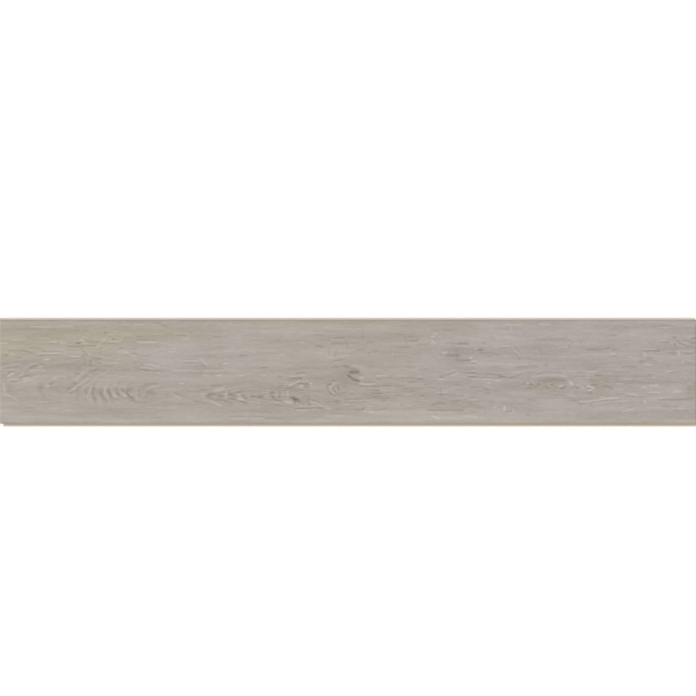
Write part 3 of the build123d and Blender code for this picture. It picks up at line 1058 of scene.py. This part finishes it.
@dataclass(frozen=True)
class StreakLayer:
    """One layer of streaks: their size, their place in the noise, and their share in the sum."""

    length: float
    width: float
    layer: float
    share: float = 1.0
    roughness: float = 0.5
    start: float = 0.0  # where the marks that are made of the streaks begin
    full: float = 1.0  # and where they are complete

    def streaks(self, graph: NodeGraph, effects: SharedEffects, along: Socket, across: Socket) -> Socket:
        """Places the layer in a material.

        Args:
            graph: the material's graph.
            effects: the shared node groups.
            along: coordinate along the streaks.
            across: coordinate across them.

        Returns:
            The streaks, from about -1 to 1.
        """
        node = graph.group(effects.streaks, Along=along, Across=across, Length=self.length,
                           Width=self.width, Roughness=self.roughness, Layer=self.layer)
        return node.outputs["Streak"]

    def marks(self, graph: NodeGraph, effects: SharedEffects, along: Socket, across: Socket) -> Socket:
        """Places the layer and keeps its strongest streaks alone, as separate marks.

        Args:
            graph: the material's graph.
            effects: the shared node groups.
            along: coordinate along the streaks.
            across: coordinate across them.

        Returns:
            The marks, from 0 to 1.
        """
        return graph.ease(self.streaks(graph, effects, along, across), self.start, self.full)


@dataclass(frozen=True)
class DecorFinish:
    """The printed and pressed face: limed grey oak under a satin wear layer.

    One step of tone brightens each channel by its tone step, and every share is in such steps.
    """

    size: PlankSize = PlankSize()
    neutral: Colour = srgb(172.3, 164.1, 155.0)
    olive: Colour = srgb(172.0, 164.8, 148.0)
    lilac: Colour = srgb(173.9, 165.2, 159.2)
    tone_step: tuple[float, float, float] = (0.063, 0.066, 0.0695)
    darkest: float = 0.12  # share of its light that the darkest mark keeps
    blotch: StreakLayer = StreakLayer(260 * MM, 24 * MM, 3.0, share=1.45, roughness=0.4)
    band: StreakLayer = StreakLayer(80 * MM, 8 * MM, 1.0, share=1.4)
    dash: StreakLayer = StreakLayer(15 * MM, 2.6 * MM, 5.0, share=1.05)
    hair: StreakLayer = StreakLayer(9 * MM, 0.9 * MM, 9.0, share=0.85, roughness=0.7)
    waver: StreakLayer = StreakLayer(30 * MM, 9 * MM, 13.0, share=0.09)  # its share is in rings
    lime: StreakLayer = StreakLayer(13 * MM, 2 * MM, 21.0, share=3.3, roughness=0.6, start=0.42, full=0.85)
    pore: StreakLayer = StreakLayer(13 * MM, 2 * MM, 27.0, share=-2.3, roughness=0.6, start=0.5, full=0.95)
    fleck: StreakLayer = StreakLayer(5 * MM, 2.2 * MM, 33.0, share=3.0, roughness=0.6, start=0.6, full=0.95)
    ring_tone: float = 2.3
    overtone: float = 0.3  # a ring's second, twice as fine wave
    overtone_lead: float = 0.9  # in radians
    shade_tone: float = 1.62
    bevel_tone: float = -2.2
    edge_fade: float = 2.6 * MM
    bevel_reach: float = 0.4  # share of the bevel's width at which its tone is complete
    roughness: float = 0.5
    hair_roughness: float = 0.05
    mark_roughness: float = 0.10
    specular: float = 0.42
    bump_strength: float = 0.5
    bump_distance: float = 0.12 * MM
    hair_height: float = 0.25
    mark_height: float = -1.0

    def material(self, effects: SharedEffects) -> bpy.types.Material:
        """Builds the face's material from the values that the face carries.

        Args:
            effects: the shared node groups.

        Returns:
            The material.
        """
        made, graph, shader = new_material("printed_grey_oak")
        x, y, _ = graph.object_axes()
        density = graph.field(GrainField.PORES)
        grained = (graph, effects, x, graph.field(GrainField.GRAIN))
        hair = self.hair.streaks(*grained)
        lime = self.lime.marks(*grained)
        pore = self.pore.marks(*grained)
        tone = graph.total(
            (self.blotch.streaks(graph, effects, x, y), self.blotch.share),
            (self.band.streaks(*grained), self.band.share),
            (self.dash.streaks(*grained), self.dash.share),
            (hair, self.hair.share),
            (self._ring_wave(graph, self.waver.streaks(*grained)), self.ring_tone),
            (graph.math("MULTIPLY", lime, density), self.lime.share),
            (graph.math("MULTIPLY", pore, density), self.pore.share),
            (graph.math("MULTIPLY", self.fleck.marks(*grained), density), self.fleck.share),
            (graph.field(GrainField.SHADE), self.shade_tone),
            (self._bevel(graph, y), self.bevel_tone),
        )
        gains = [graph.math("MULTIPLY_ADD", tone, step, 1.0) for step in self.tone_step]
        gain = graph.colour(*(graph.math("MAXIMUM", channel, self.darkest) for channel in gains))
        colour = graph.mix(graph.field(GrainField.LILAC), self.neutral, self.lilac)
        colour = graph.mix(graph.field(GrainField.OLIVE), colour, self.olive)
        graph.feed(shader.inputs["Base Color"], graph.mix(1.0, colour, gain, "MULTIPLY"))

        mark = graph.math("ADD", lime, pore)
        rough = graph.total((hair, self.hair_roughness), (mark, self.mark_roughness), start=self.roughness)
        graph.feed(shader.inputs["Roughness"], rough)
        shader.inputs["Specular IOR Level"].default_value = self.specular
        height = graph.total((mark, self.mark_height), (hair, self.hair_height))
        graph.bump(shader, height, self.bump_strength, self.bump_distance)
        return made

    def _ring_wave(self, graph: NodeGraph, waver: Socket) -> Socket:
        """One light and one dark line for each ring, as strong as the figure is there.

        It is the sine of the ring count, plus a share of a sine twice as fine that leads it.

        Args:
            graph: the material's graph.
            waver: slow streaks that shift the lines a little.

        Returns:
            The wave, from about -1 to 1.
        """
        turns = graph.math("MULTIPLY_ADD", waver, self.waver.share, graph.field(GrainField.RINGS))
        angle = graph.math("MULTIPLY", turns, 2 * math.pi)
        finer = graph.math("SINE", graph.math("MULTIPLY_ADD", angle, 2.0, self.overtone_lead))
        wave = graph.math("MULTIPLY_ADD", finer, self.overtone, graph.math("SINE", angle))
        return graph.math("MULTIPLY", wave, graph.field(GrainField.FIGURE))

    def _bevel(self, graph: NodeGraph, y: Socket) -> Socket:
        """0 on the flat face and 1 on the bevel of a long side, eased over the face's last strip.

        Args:
            graph: the material's graph.
            y: place across the plank.

        Returns:
            The mask.
        """
        past = graph.math("SUBTRACT", graph.math("ABSOLUTE", y), self.size.flat_half_width)
        return graph.ease(past, -self.edge_fade, self.bevel_reach * self.size.bevel_width)


@dataclass(frozen=True)
class FibreboardFinish:
    """The milled sides: high-density fibreboard, sealed with wax, with the papers' edges showing."""

    size: PlankSize = PlankSize()
    heart: Colour = srgb(207, 194, 174)
    skin: Colour = srgb(195, 179, 156)
    fleck: Colour = srgb(224, 210, 188)
    print_edge: Colour = srgb(128, 117, 106)
    heart_reach: float = 1.6 * MM  # from the middle of the thickness
    skin_start: float = 3.6 * MM  # likewise
    fibre_length: float = 1.6 * MM
    fibre_width: float = 0.28 * MM
    fleck_share: float = 0.4
    speckle_share: float = 0.28
    film: float = 0.22 * MM
    film_fade: float = 1.3  # the print's edge begins this many films below the bevel
    cutter: StreakLayer = StreakLayer(60 * MM, 0.16 * MM, 2.0, roughness=0.6)
    roughness: float = 0.68
    specular: float = 0.35
    bump_strength: float = 0.45
    bump_distance: float = 0.05 * MM

    def material(self, effects: SharedEffects) -> bpy.types.Material:
        """Builds the material of the milled sides.

        Args:
            effects: the shared node groups.

        Returns:
            The material.
        """
        made, graph, shader = new_material("milled_fibreboard")
        x, y, z = graph.object_axes()
        fibres = graph.group(effects.speckle, Fibre_Length=self.fibre_length, Fibre_Width=self.fibre_width)
        speckle = fibres.outputs["Speckle"]
        middle = graph.math("SUBTRACT", z, self.size.thickness / 2)
        density = graph.ease(graph.math("ABSOLUTE", middle), self.heart_reach, self.skin_start)
        light = graph.math("MULTIPLY", fibres.outputs["Flecks"], self.fleck_share)
        colour = graph.mix(light, graph.mix(density, self.heart, self.skin), self.fleck)
        gain = graph.math("MULTIPLY_ADD", speckle, self.speckle_share, 1.0)
        colour = graph.mix(1.0, colour, graph.colour(gain, gain, gain), "MULTIPLY")
        seam = self.size.seam_top
        film = graph.ease(z, seam - self.film_fade * self.film, seam - self.film)
        graph.feed(shader.inputs["Base Color"], graph.mix(film, colour, self.print_edge))
        shader.inputs["Roughness"].default_value = self.roughness
        shader.inputs["Specular IOR Level"].default_value = self.specular
        around = graph.math("ADD", x, y)
        height = graph.math("ADD", speckle, self.cutter.streaks(graph, effects, around, z))
        graph.bump(shader, height, self.bump_strength, self.bump_distance)
        return made


@dataclass(frozen=True)
class BackingFinish:
    """The underside: resin-soaked backing paper that balances the face."""

    paper: Colour = srgb(196, 181, 156)
    cloud: Colour = srgb(181, 163, 136)
    clouds: StreakLayer = StreakLayer(28 * MM, 19 * MM, 4.0, roughness=0.6, start=-0.8, full=0.9)
    fibre_length: float = 3.5 * MM
    fibre_width: float = 0.5 * MM
    speckle_share: float = 0.16
    roughness: float = 0.55
    specular: float = 0.4
    bump_strength: float = 0.3
    bump_distance: float = 0.04 * MM

    def material(self, effects: SharedEffects) -> bpy.types.Material:
        """Builds the material of the underside.

        Args:
            effects: the shared node groups.

        Returns:
            The material.
        """
        made, graph, shader = new_material("backing_paper")
        x, y, _ = graph.object_axes()
        fibres = graph.group(effects.speckle, Fibre_Length=self.fibre_length, Fibre_Width=self.fibre_width)
        speckle = fibres.outputs["Speckle"]
        colour = graph.mix(self.clouds.marks(graph, effects, x, y), self.paper, self.cloud)
        gain = graph.math("MULTIPLY_ADD", speckle, self.speckle_share, 1.0)
        colour = graph.mix(1.0, colour, graph.colour(gain, gain, gain), "MULTIPLY")
        graph.feed(shader.inputs["Base Color"], colour)
        shader.inputs["Roughness"].default_value = self.roughness
        shader.inputs["Specular IOR Level"].default_value = self.specular
        graph.bump(shader, speckle, self.bump_strength, self.bump_distance)
        return made


@dataclass(frozen=True)
class StudioFinish:
    """The pale floor, which the camera sees as the photograph's white ground with a soft shadow."""

    colour: Colour = (0.84, 0.84, 0.835, 1.0)
    lift: float = 0.22

    def material(self) -> bpy.types.Material:
        """Builds the floor's material.

        Returns:
            The material.
        """
        made, graph, shader = new_material("studio_floor")
        shader.inputs["Base Color"].default_value = self.colour
        shader.inputs["Roughness"].default_value = 1.0
        shader.inputs["Specular IOR Level"].default_value = 0.0
        shader.inputs["Emission Color"].default_value = WARM_WHITE
        path = graph.add("LightPath")
        seen = graph.math("ADD", path.outputs["Is Camera Ray"], path.outputs["Is Glossy Ray"])
        seen = graph.math("ADD", seen, path.outputs["Is Transmission Ray"], clamp=True)
        graph.feed(shader.inputs["Emission Strength"], graph.math("MULTIPLY", seen, self.lift))
        return made


@dataclass
class LaminatePlank:
    """The plank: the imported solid's milled sides and underside, closed by a pressed, printed face."""

    node: bpy.types.Object
    figure: OakFigure = field(default_factory=OakFigure)
    size: PlankSize = field(default_factory=PlankSize)
    columns: int = 640
    rows: int = 146
    relief_depth: float = 0.16 * MM
    relief_margin: float = 2.5 * MM
    weld: float = 0.001 * MM
    corner_reach: float = 10.0  # in welds, how near a seam corner has to be
    downward: float = -0.99  # faces whose normal's Z is less than this look down

    def build(self, effects: SharedEffects) -> bpy.types.Object:
        """Makes the plank's one closed mesh, dresses it and puts it in the CAD node's place.

        Args:
            effects: the shared node groups.

        Returns:
            The piece.
        """
        face, quads = self._face()
        body, sides = self._milled_body()
        rim = self._bevel(face, body)
        points = np.concatenate([face, body])
        triangles = np.concatenate([sides + len(face), rim])
        mesh = self._mesh(points, quads, triangles)
        self._set_surfaces(mesh, len(quads), len(quads) + len(sides))
        self._carry_fields(mesh, points)
        for finish in (DecorFinish(), FibreboardFinish(), BackingFinish()):
            mesh.materials.append(finish.material(effects))
        piece = bpy.data.objects.new("plank", mesh)
        bpy.context.scene.collection.objects.link(piece)
        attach(piece, BODY)
        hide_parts(PLANK_NODE)
        return piece

    def _face(self) -> tuple[Array, Array]:
        """The face as a grid: even steps along and across, sunk by the press plate's relief.

        The relief fades to nothing within its margin from the bevel.

        Returns:
            The grid's points, row by row, and its four-sided faces.
        """
        half_length = self.size.flat_half_length
        half_width = self.size.flat_half_width
        x, y = np.meshgrid(np.linspace(-half_length, half_length, self.columns + 1),
                           np.linspace(-half_width, half_width, self.rows + 1))
        inset = np.minimum(half_length - np.abs(x), half_width - np.abs(y))
        depth = self.relief_depth * self.figure.relief(x, y) * smooth_step(inset / self.relief_margin)
        points = np.stack([x, y, self.size.thickness - depth], axis=-1).reshape(-1, 3)
        corner = np.arange(self.rows)[:, None] * (self.columns + 1) + np.arange(self.columns)
        corner = corner.ravel()
        quads = np.stack([corner, corner + 1, corner + self.columns + 2, corner + self.columns + 1], axis=1)
        return points, quads

    def _milled_body(self) -> tuple[Array, Array]:
        """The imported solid's triangles, welded, without its flat face and the bevel round it.

        Returns:
            The points and the triangles.
        """
        mesh = self.node.data
        points = np.zeros(len(mesh.vertices) * 3)
        mesh.vertices.foreach_get("co", points)
        corners = np.zeros(len(mesh.loops), dtype=int)
        mesh.loops.foreach_get("vertex_index", corners)
        points = points.reshape(-1, 3)
        _, first, welded = np.unique(np.round(points / self.weld), axis=0, return_index=True,
                                     return_inverse=True)
        points = points[first]
        triangles = welded.ravel()[corners].reshape(-1, 3)
        kept = points[triangles][:, :, 2].min(axis=1) < self.size.seam_top - self.weld
        used, packed = np.unique(triangles[kept], return_inverse=True)
        return points[used], packed.reshape(-1, 3)

    def _bevel(self, face: Array, body: Array) -> Array:
        """The bevel: each side's edge of the grid fanned out to the two seam corners of that side.

        The first half of an edge's steps fan to one corner and the rest to the other, and one
        triangle between the halves takes both corners.

        Args:
            face: the grid's points.
            body: the milled body's points.

        Returns:
            The triangles, numbered with the body's points after the grid's.
        """
        across = np.arange(self.rows + 1) * (self.columns + 1)
        along = np.arange(self.columns + 1)
        last_row = self.rows * (self.columns + 1)
        edges = (along, across + self.columns, last_row + along[::-1], across[::-1])
        half = np.array([self.size.face_length / 2, self.size.face_width / 2])
        signs = ((-1, -1), (1, -1), (1, 1), (-1, 1))
        corners = [len(face) + self._nearest(body, (*(half * sign), self.size.seam_top)) for sign in signs]
        fans = []
        for edge, first, last in zip(edges, corners, corners[1:] + corners[:1]):
            middle = len(edge) // 2
            outer = np.where(np.arange(len(edge) - 1) < middle, first, last)
            fans.append(np.stack([outer, edge[1:], edge[:-1]], axis=1))
            fans.append(np.array([[first, last, edge[middle]]]))
        return np.concatenate(fans)

    def _nearest(self, points: Array, place: tuple[float, float, float]) -> int:
        """Finds the point at a place.

        Args:
            points: the points.
            place: where it should be.

        Returns:
            The point's number.

        Raises:
            ValueError: if no point lies within a few welds of the place.
        """
        gaps = np.linalg.norm(points - np.array(place), axis=1)
        number = int(np.argmin(gaps))
        if gaps[number] > self.corner_reach * self.weld:
            raise ValueError(f"the packed solid has no corner at {place}")
        return number

    @staticmethod
    def _mesh(points: Array, quads: Array, triangles: Array) -> bpy.types.Mesh:
        """Puts points and faces into a mesh, as whole arrays.

        Args:
            points: the points.
            quads: four-sided faces, first in the mesh.
            triangles: three-sided faces, after them.

        Returns:
            The mesh.
        """
        mesh = bpy.data.meshes.new("plank")
        mesh.vertices.add(len(points))
        mesh.vertices.foreach_set("co", points.ravel())
        corners = np.concatenate([quads.ravel(), triangles.ravel()])
        starts = np.concatenate([np.arange(len(quads)) * 4, quads.size + np.arange(len(triangles)) * 3])
        mesh.loops.add(len(corners))
        mesh.loops.foreach_set("vertex_index", corners)
        mesh.polygons.add(len(starts))
        mesh.polygons.foreach_set("loop_start", starts)
        mesh.update(calc_edges=True)
        mesh.validate()
        return mesh

    def _set_surfaces(self, mesh: bpy.types.Mesh, face_count: int, bevel_start: int) -> None:
        """Gives each face of the mesh its finish, and smooths the pressed grid alone.

        Args:
            mesh: the plank's mesh.
            face_count: how many faces the grid has.
            bevel_start: number of the bevel's first face.
        """
        count = len(mesh.polygons)
        normals = np.zeros(count * 3)
        centres = np.zeros(count * 3)
        mesh.polygons.foreach_get("normal", normals)
        mesh.polygons.foreach_get("center", centres)
        downward = normals.reshape(-1, 3)[:, 2] < self.downward
        lowest = centres.reshape(-1, 3)[:, 2] < self.weld
        number = np.arange(count)
        printed = (number < face_count) | (number >= bevel_start)
        surface = np.where(printed, Surface.DECOR, Surface.FIBREBOARD)
        surface = np.where(downward & lowest, Surface.BACKING, surface)
        mesh.polygons.foreach_set("material_index", surface.astype(np.int32))
        mesh.polygons.foreach_set("use_smooth", number < face_count)

    def _carry_fields(self, mesh: bpy.types.Mesh, points: Array) -> None:
        """Writes the values that the materials read to the mesh's points.

        Args:
            mesh: the plank's mesh.
            points: its points.
        """
        for name, values in self.figure.fields(points[:, 0], points[:, 1]).items():
            carried = mesh.attributes.new(name.value, "FLOAT", "POINT")
            carried.data.foreach_set("value", values.astype(np.float32))


@dataclass
class Studio:
    """Pale floor, soft light and the camera that looks straight down, as in the photograph."""

    photo: PhotoFrame = field(default_factory=PhotoFrame)
    lens: float = 120.0
    sensor: float = 36.0
    view_depth: float = 100.0
    floor_side: float = 30.0
    floor_drop: float = 0.3 * MM
    sky: float = 0.62
    sun_power: float = 1.3
    sun_spread_deg: float = 34.0
    sun_direction: tuple[float, float, float] = (0.8, 0.12, -1.25)

    def build(self) -> None:
        """Sets the stage."""
        self._floor()
        self._world()
        self._sun()
        self._camera()
        bpy.context.scene.view_settings.view_transform = "Standard"

    def _floor(self) -> None:
        """A wide plane just below the plank's underside."""
        half = self.floor_side / 2
        corners = [(-half, -half), (half, -half), (half, half), (-half, half)]
        mesh = bpy.data.meshes.new("floor")
        mesh.from_pydata([(x, y, -self.floor_drop) for x, y in corners], [], [(0, 1, 2, 3)])
        mesh.materials.append(StudioFinish().material())
        floor = bpy.data.objects.new("floor", mesh)
        bpy.context.scene.collection.objects.link(floor)

    def _world(self) -> None:
        """Even light from all round, white where the camera sees it."""
        world = bpy.data.worlds.new("studio")
        world.use_nodes = True
        graph = NodeGraph(world.node_tree)
        background = graph.add("Background")
        rays = graph.add("LightPath").outputs
        seen = graph.math("ADD", rays["Is Camera Ray"], rays["Is Transmission Ray"], clamp=True)
        strength = graph.math("MULTIPLY_ADD", seen, 1.0 - self.sky, self.sky)
        background.inputs["Color"].default_value = WARM_WHITE
        graph.feed(background.inputs["Strength"], strength)
        graph.feed(graph.add("OutputWorld").inputs["Surface"], background.outputs[0])
        bpy.context.scene.world = world

    def _sun(self) -> None:
        """One wide, soft light from the left and a little beyond, the same all along the plank."""
        lamp = bpy.data.lights.new("soft_light", "SUN")
        lamp.energy = self.sun_power
        lamp.angle = math.radians(self.sun_spread_deg)
        holder = bpy.data.objects.new("soft_light", lamp)
        holder.rotation_euler = Vector(self.sun_direction).to_track_quat("-Z", "Y").to_euler()
        bpy.context.scene.collection.objects.link(holder)

    def _camera(self) -> None:
        """A long lens straight above, so far up that the face just spans the picture."""
        camera = bpy.data.cameras.new("camera")
        camera.lens = self.lens
        camera.sensor_width = self.sensor
        camera.clip_end = self.view_depth
        distance = self.photo.size.face_length * self.lens / self.sensor
        holder = bpy.data.objects.new("camera", camera)
        holder.location = (0.0, self.photo.centre_offset, self.photo.size.thickness + distance)
        bpy.context.scene.collection.objects.link(holder)
        bpy.context.scene.camera = holder


def main() -> None:
    """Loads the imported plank, builds its looks and the studio, and reports what was made."""
    logging.basicConfig(level=logging.INFO, format="%(message)s")
    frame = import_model()
    effects = SharedEffects()
    plank = LaminatePlank(node=frame["nodes"][PLANK_NODE]).build(effects)
    LOG.info("%s: %d points, %d faces", plank.name, len(plank.data.vertices), len(plank.data.polygons))
    Studio().build()


if __name__ == "__main__":
    main()
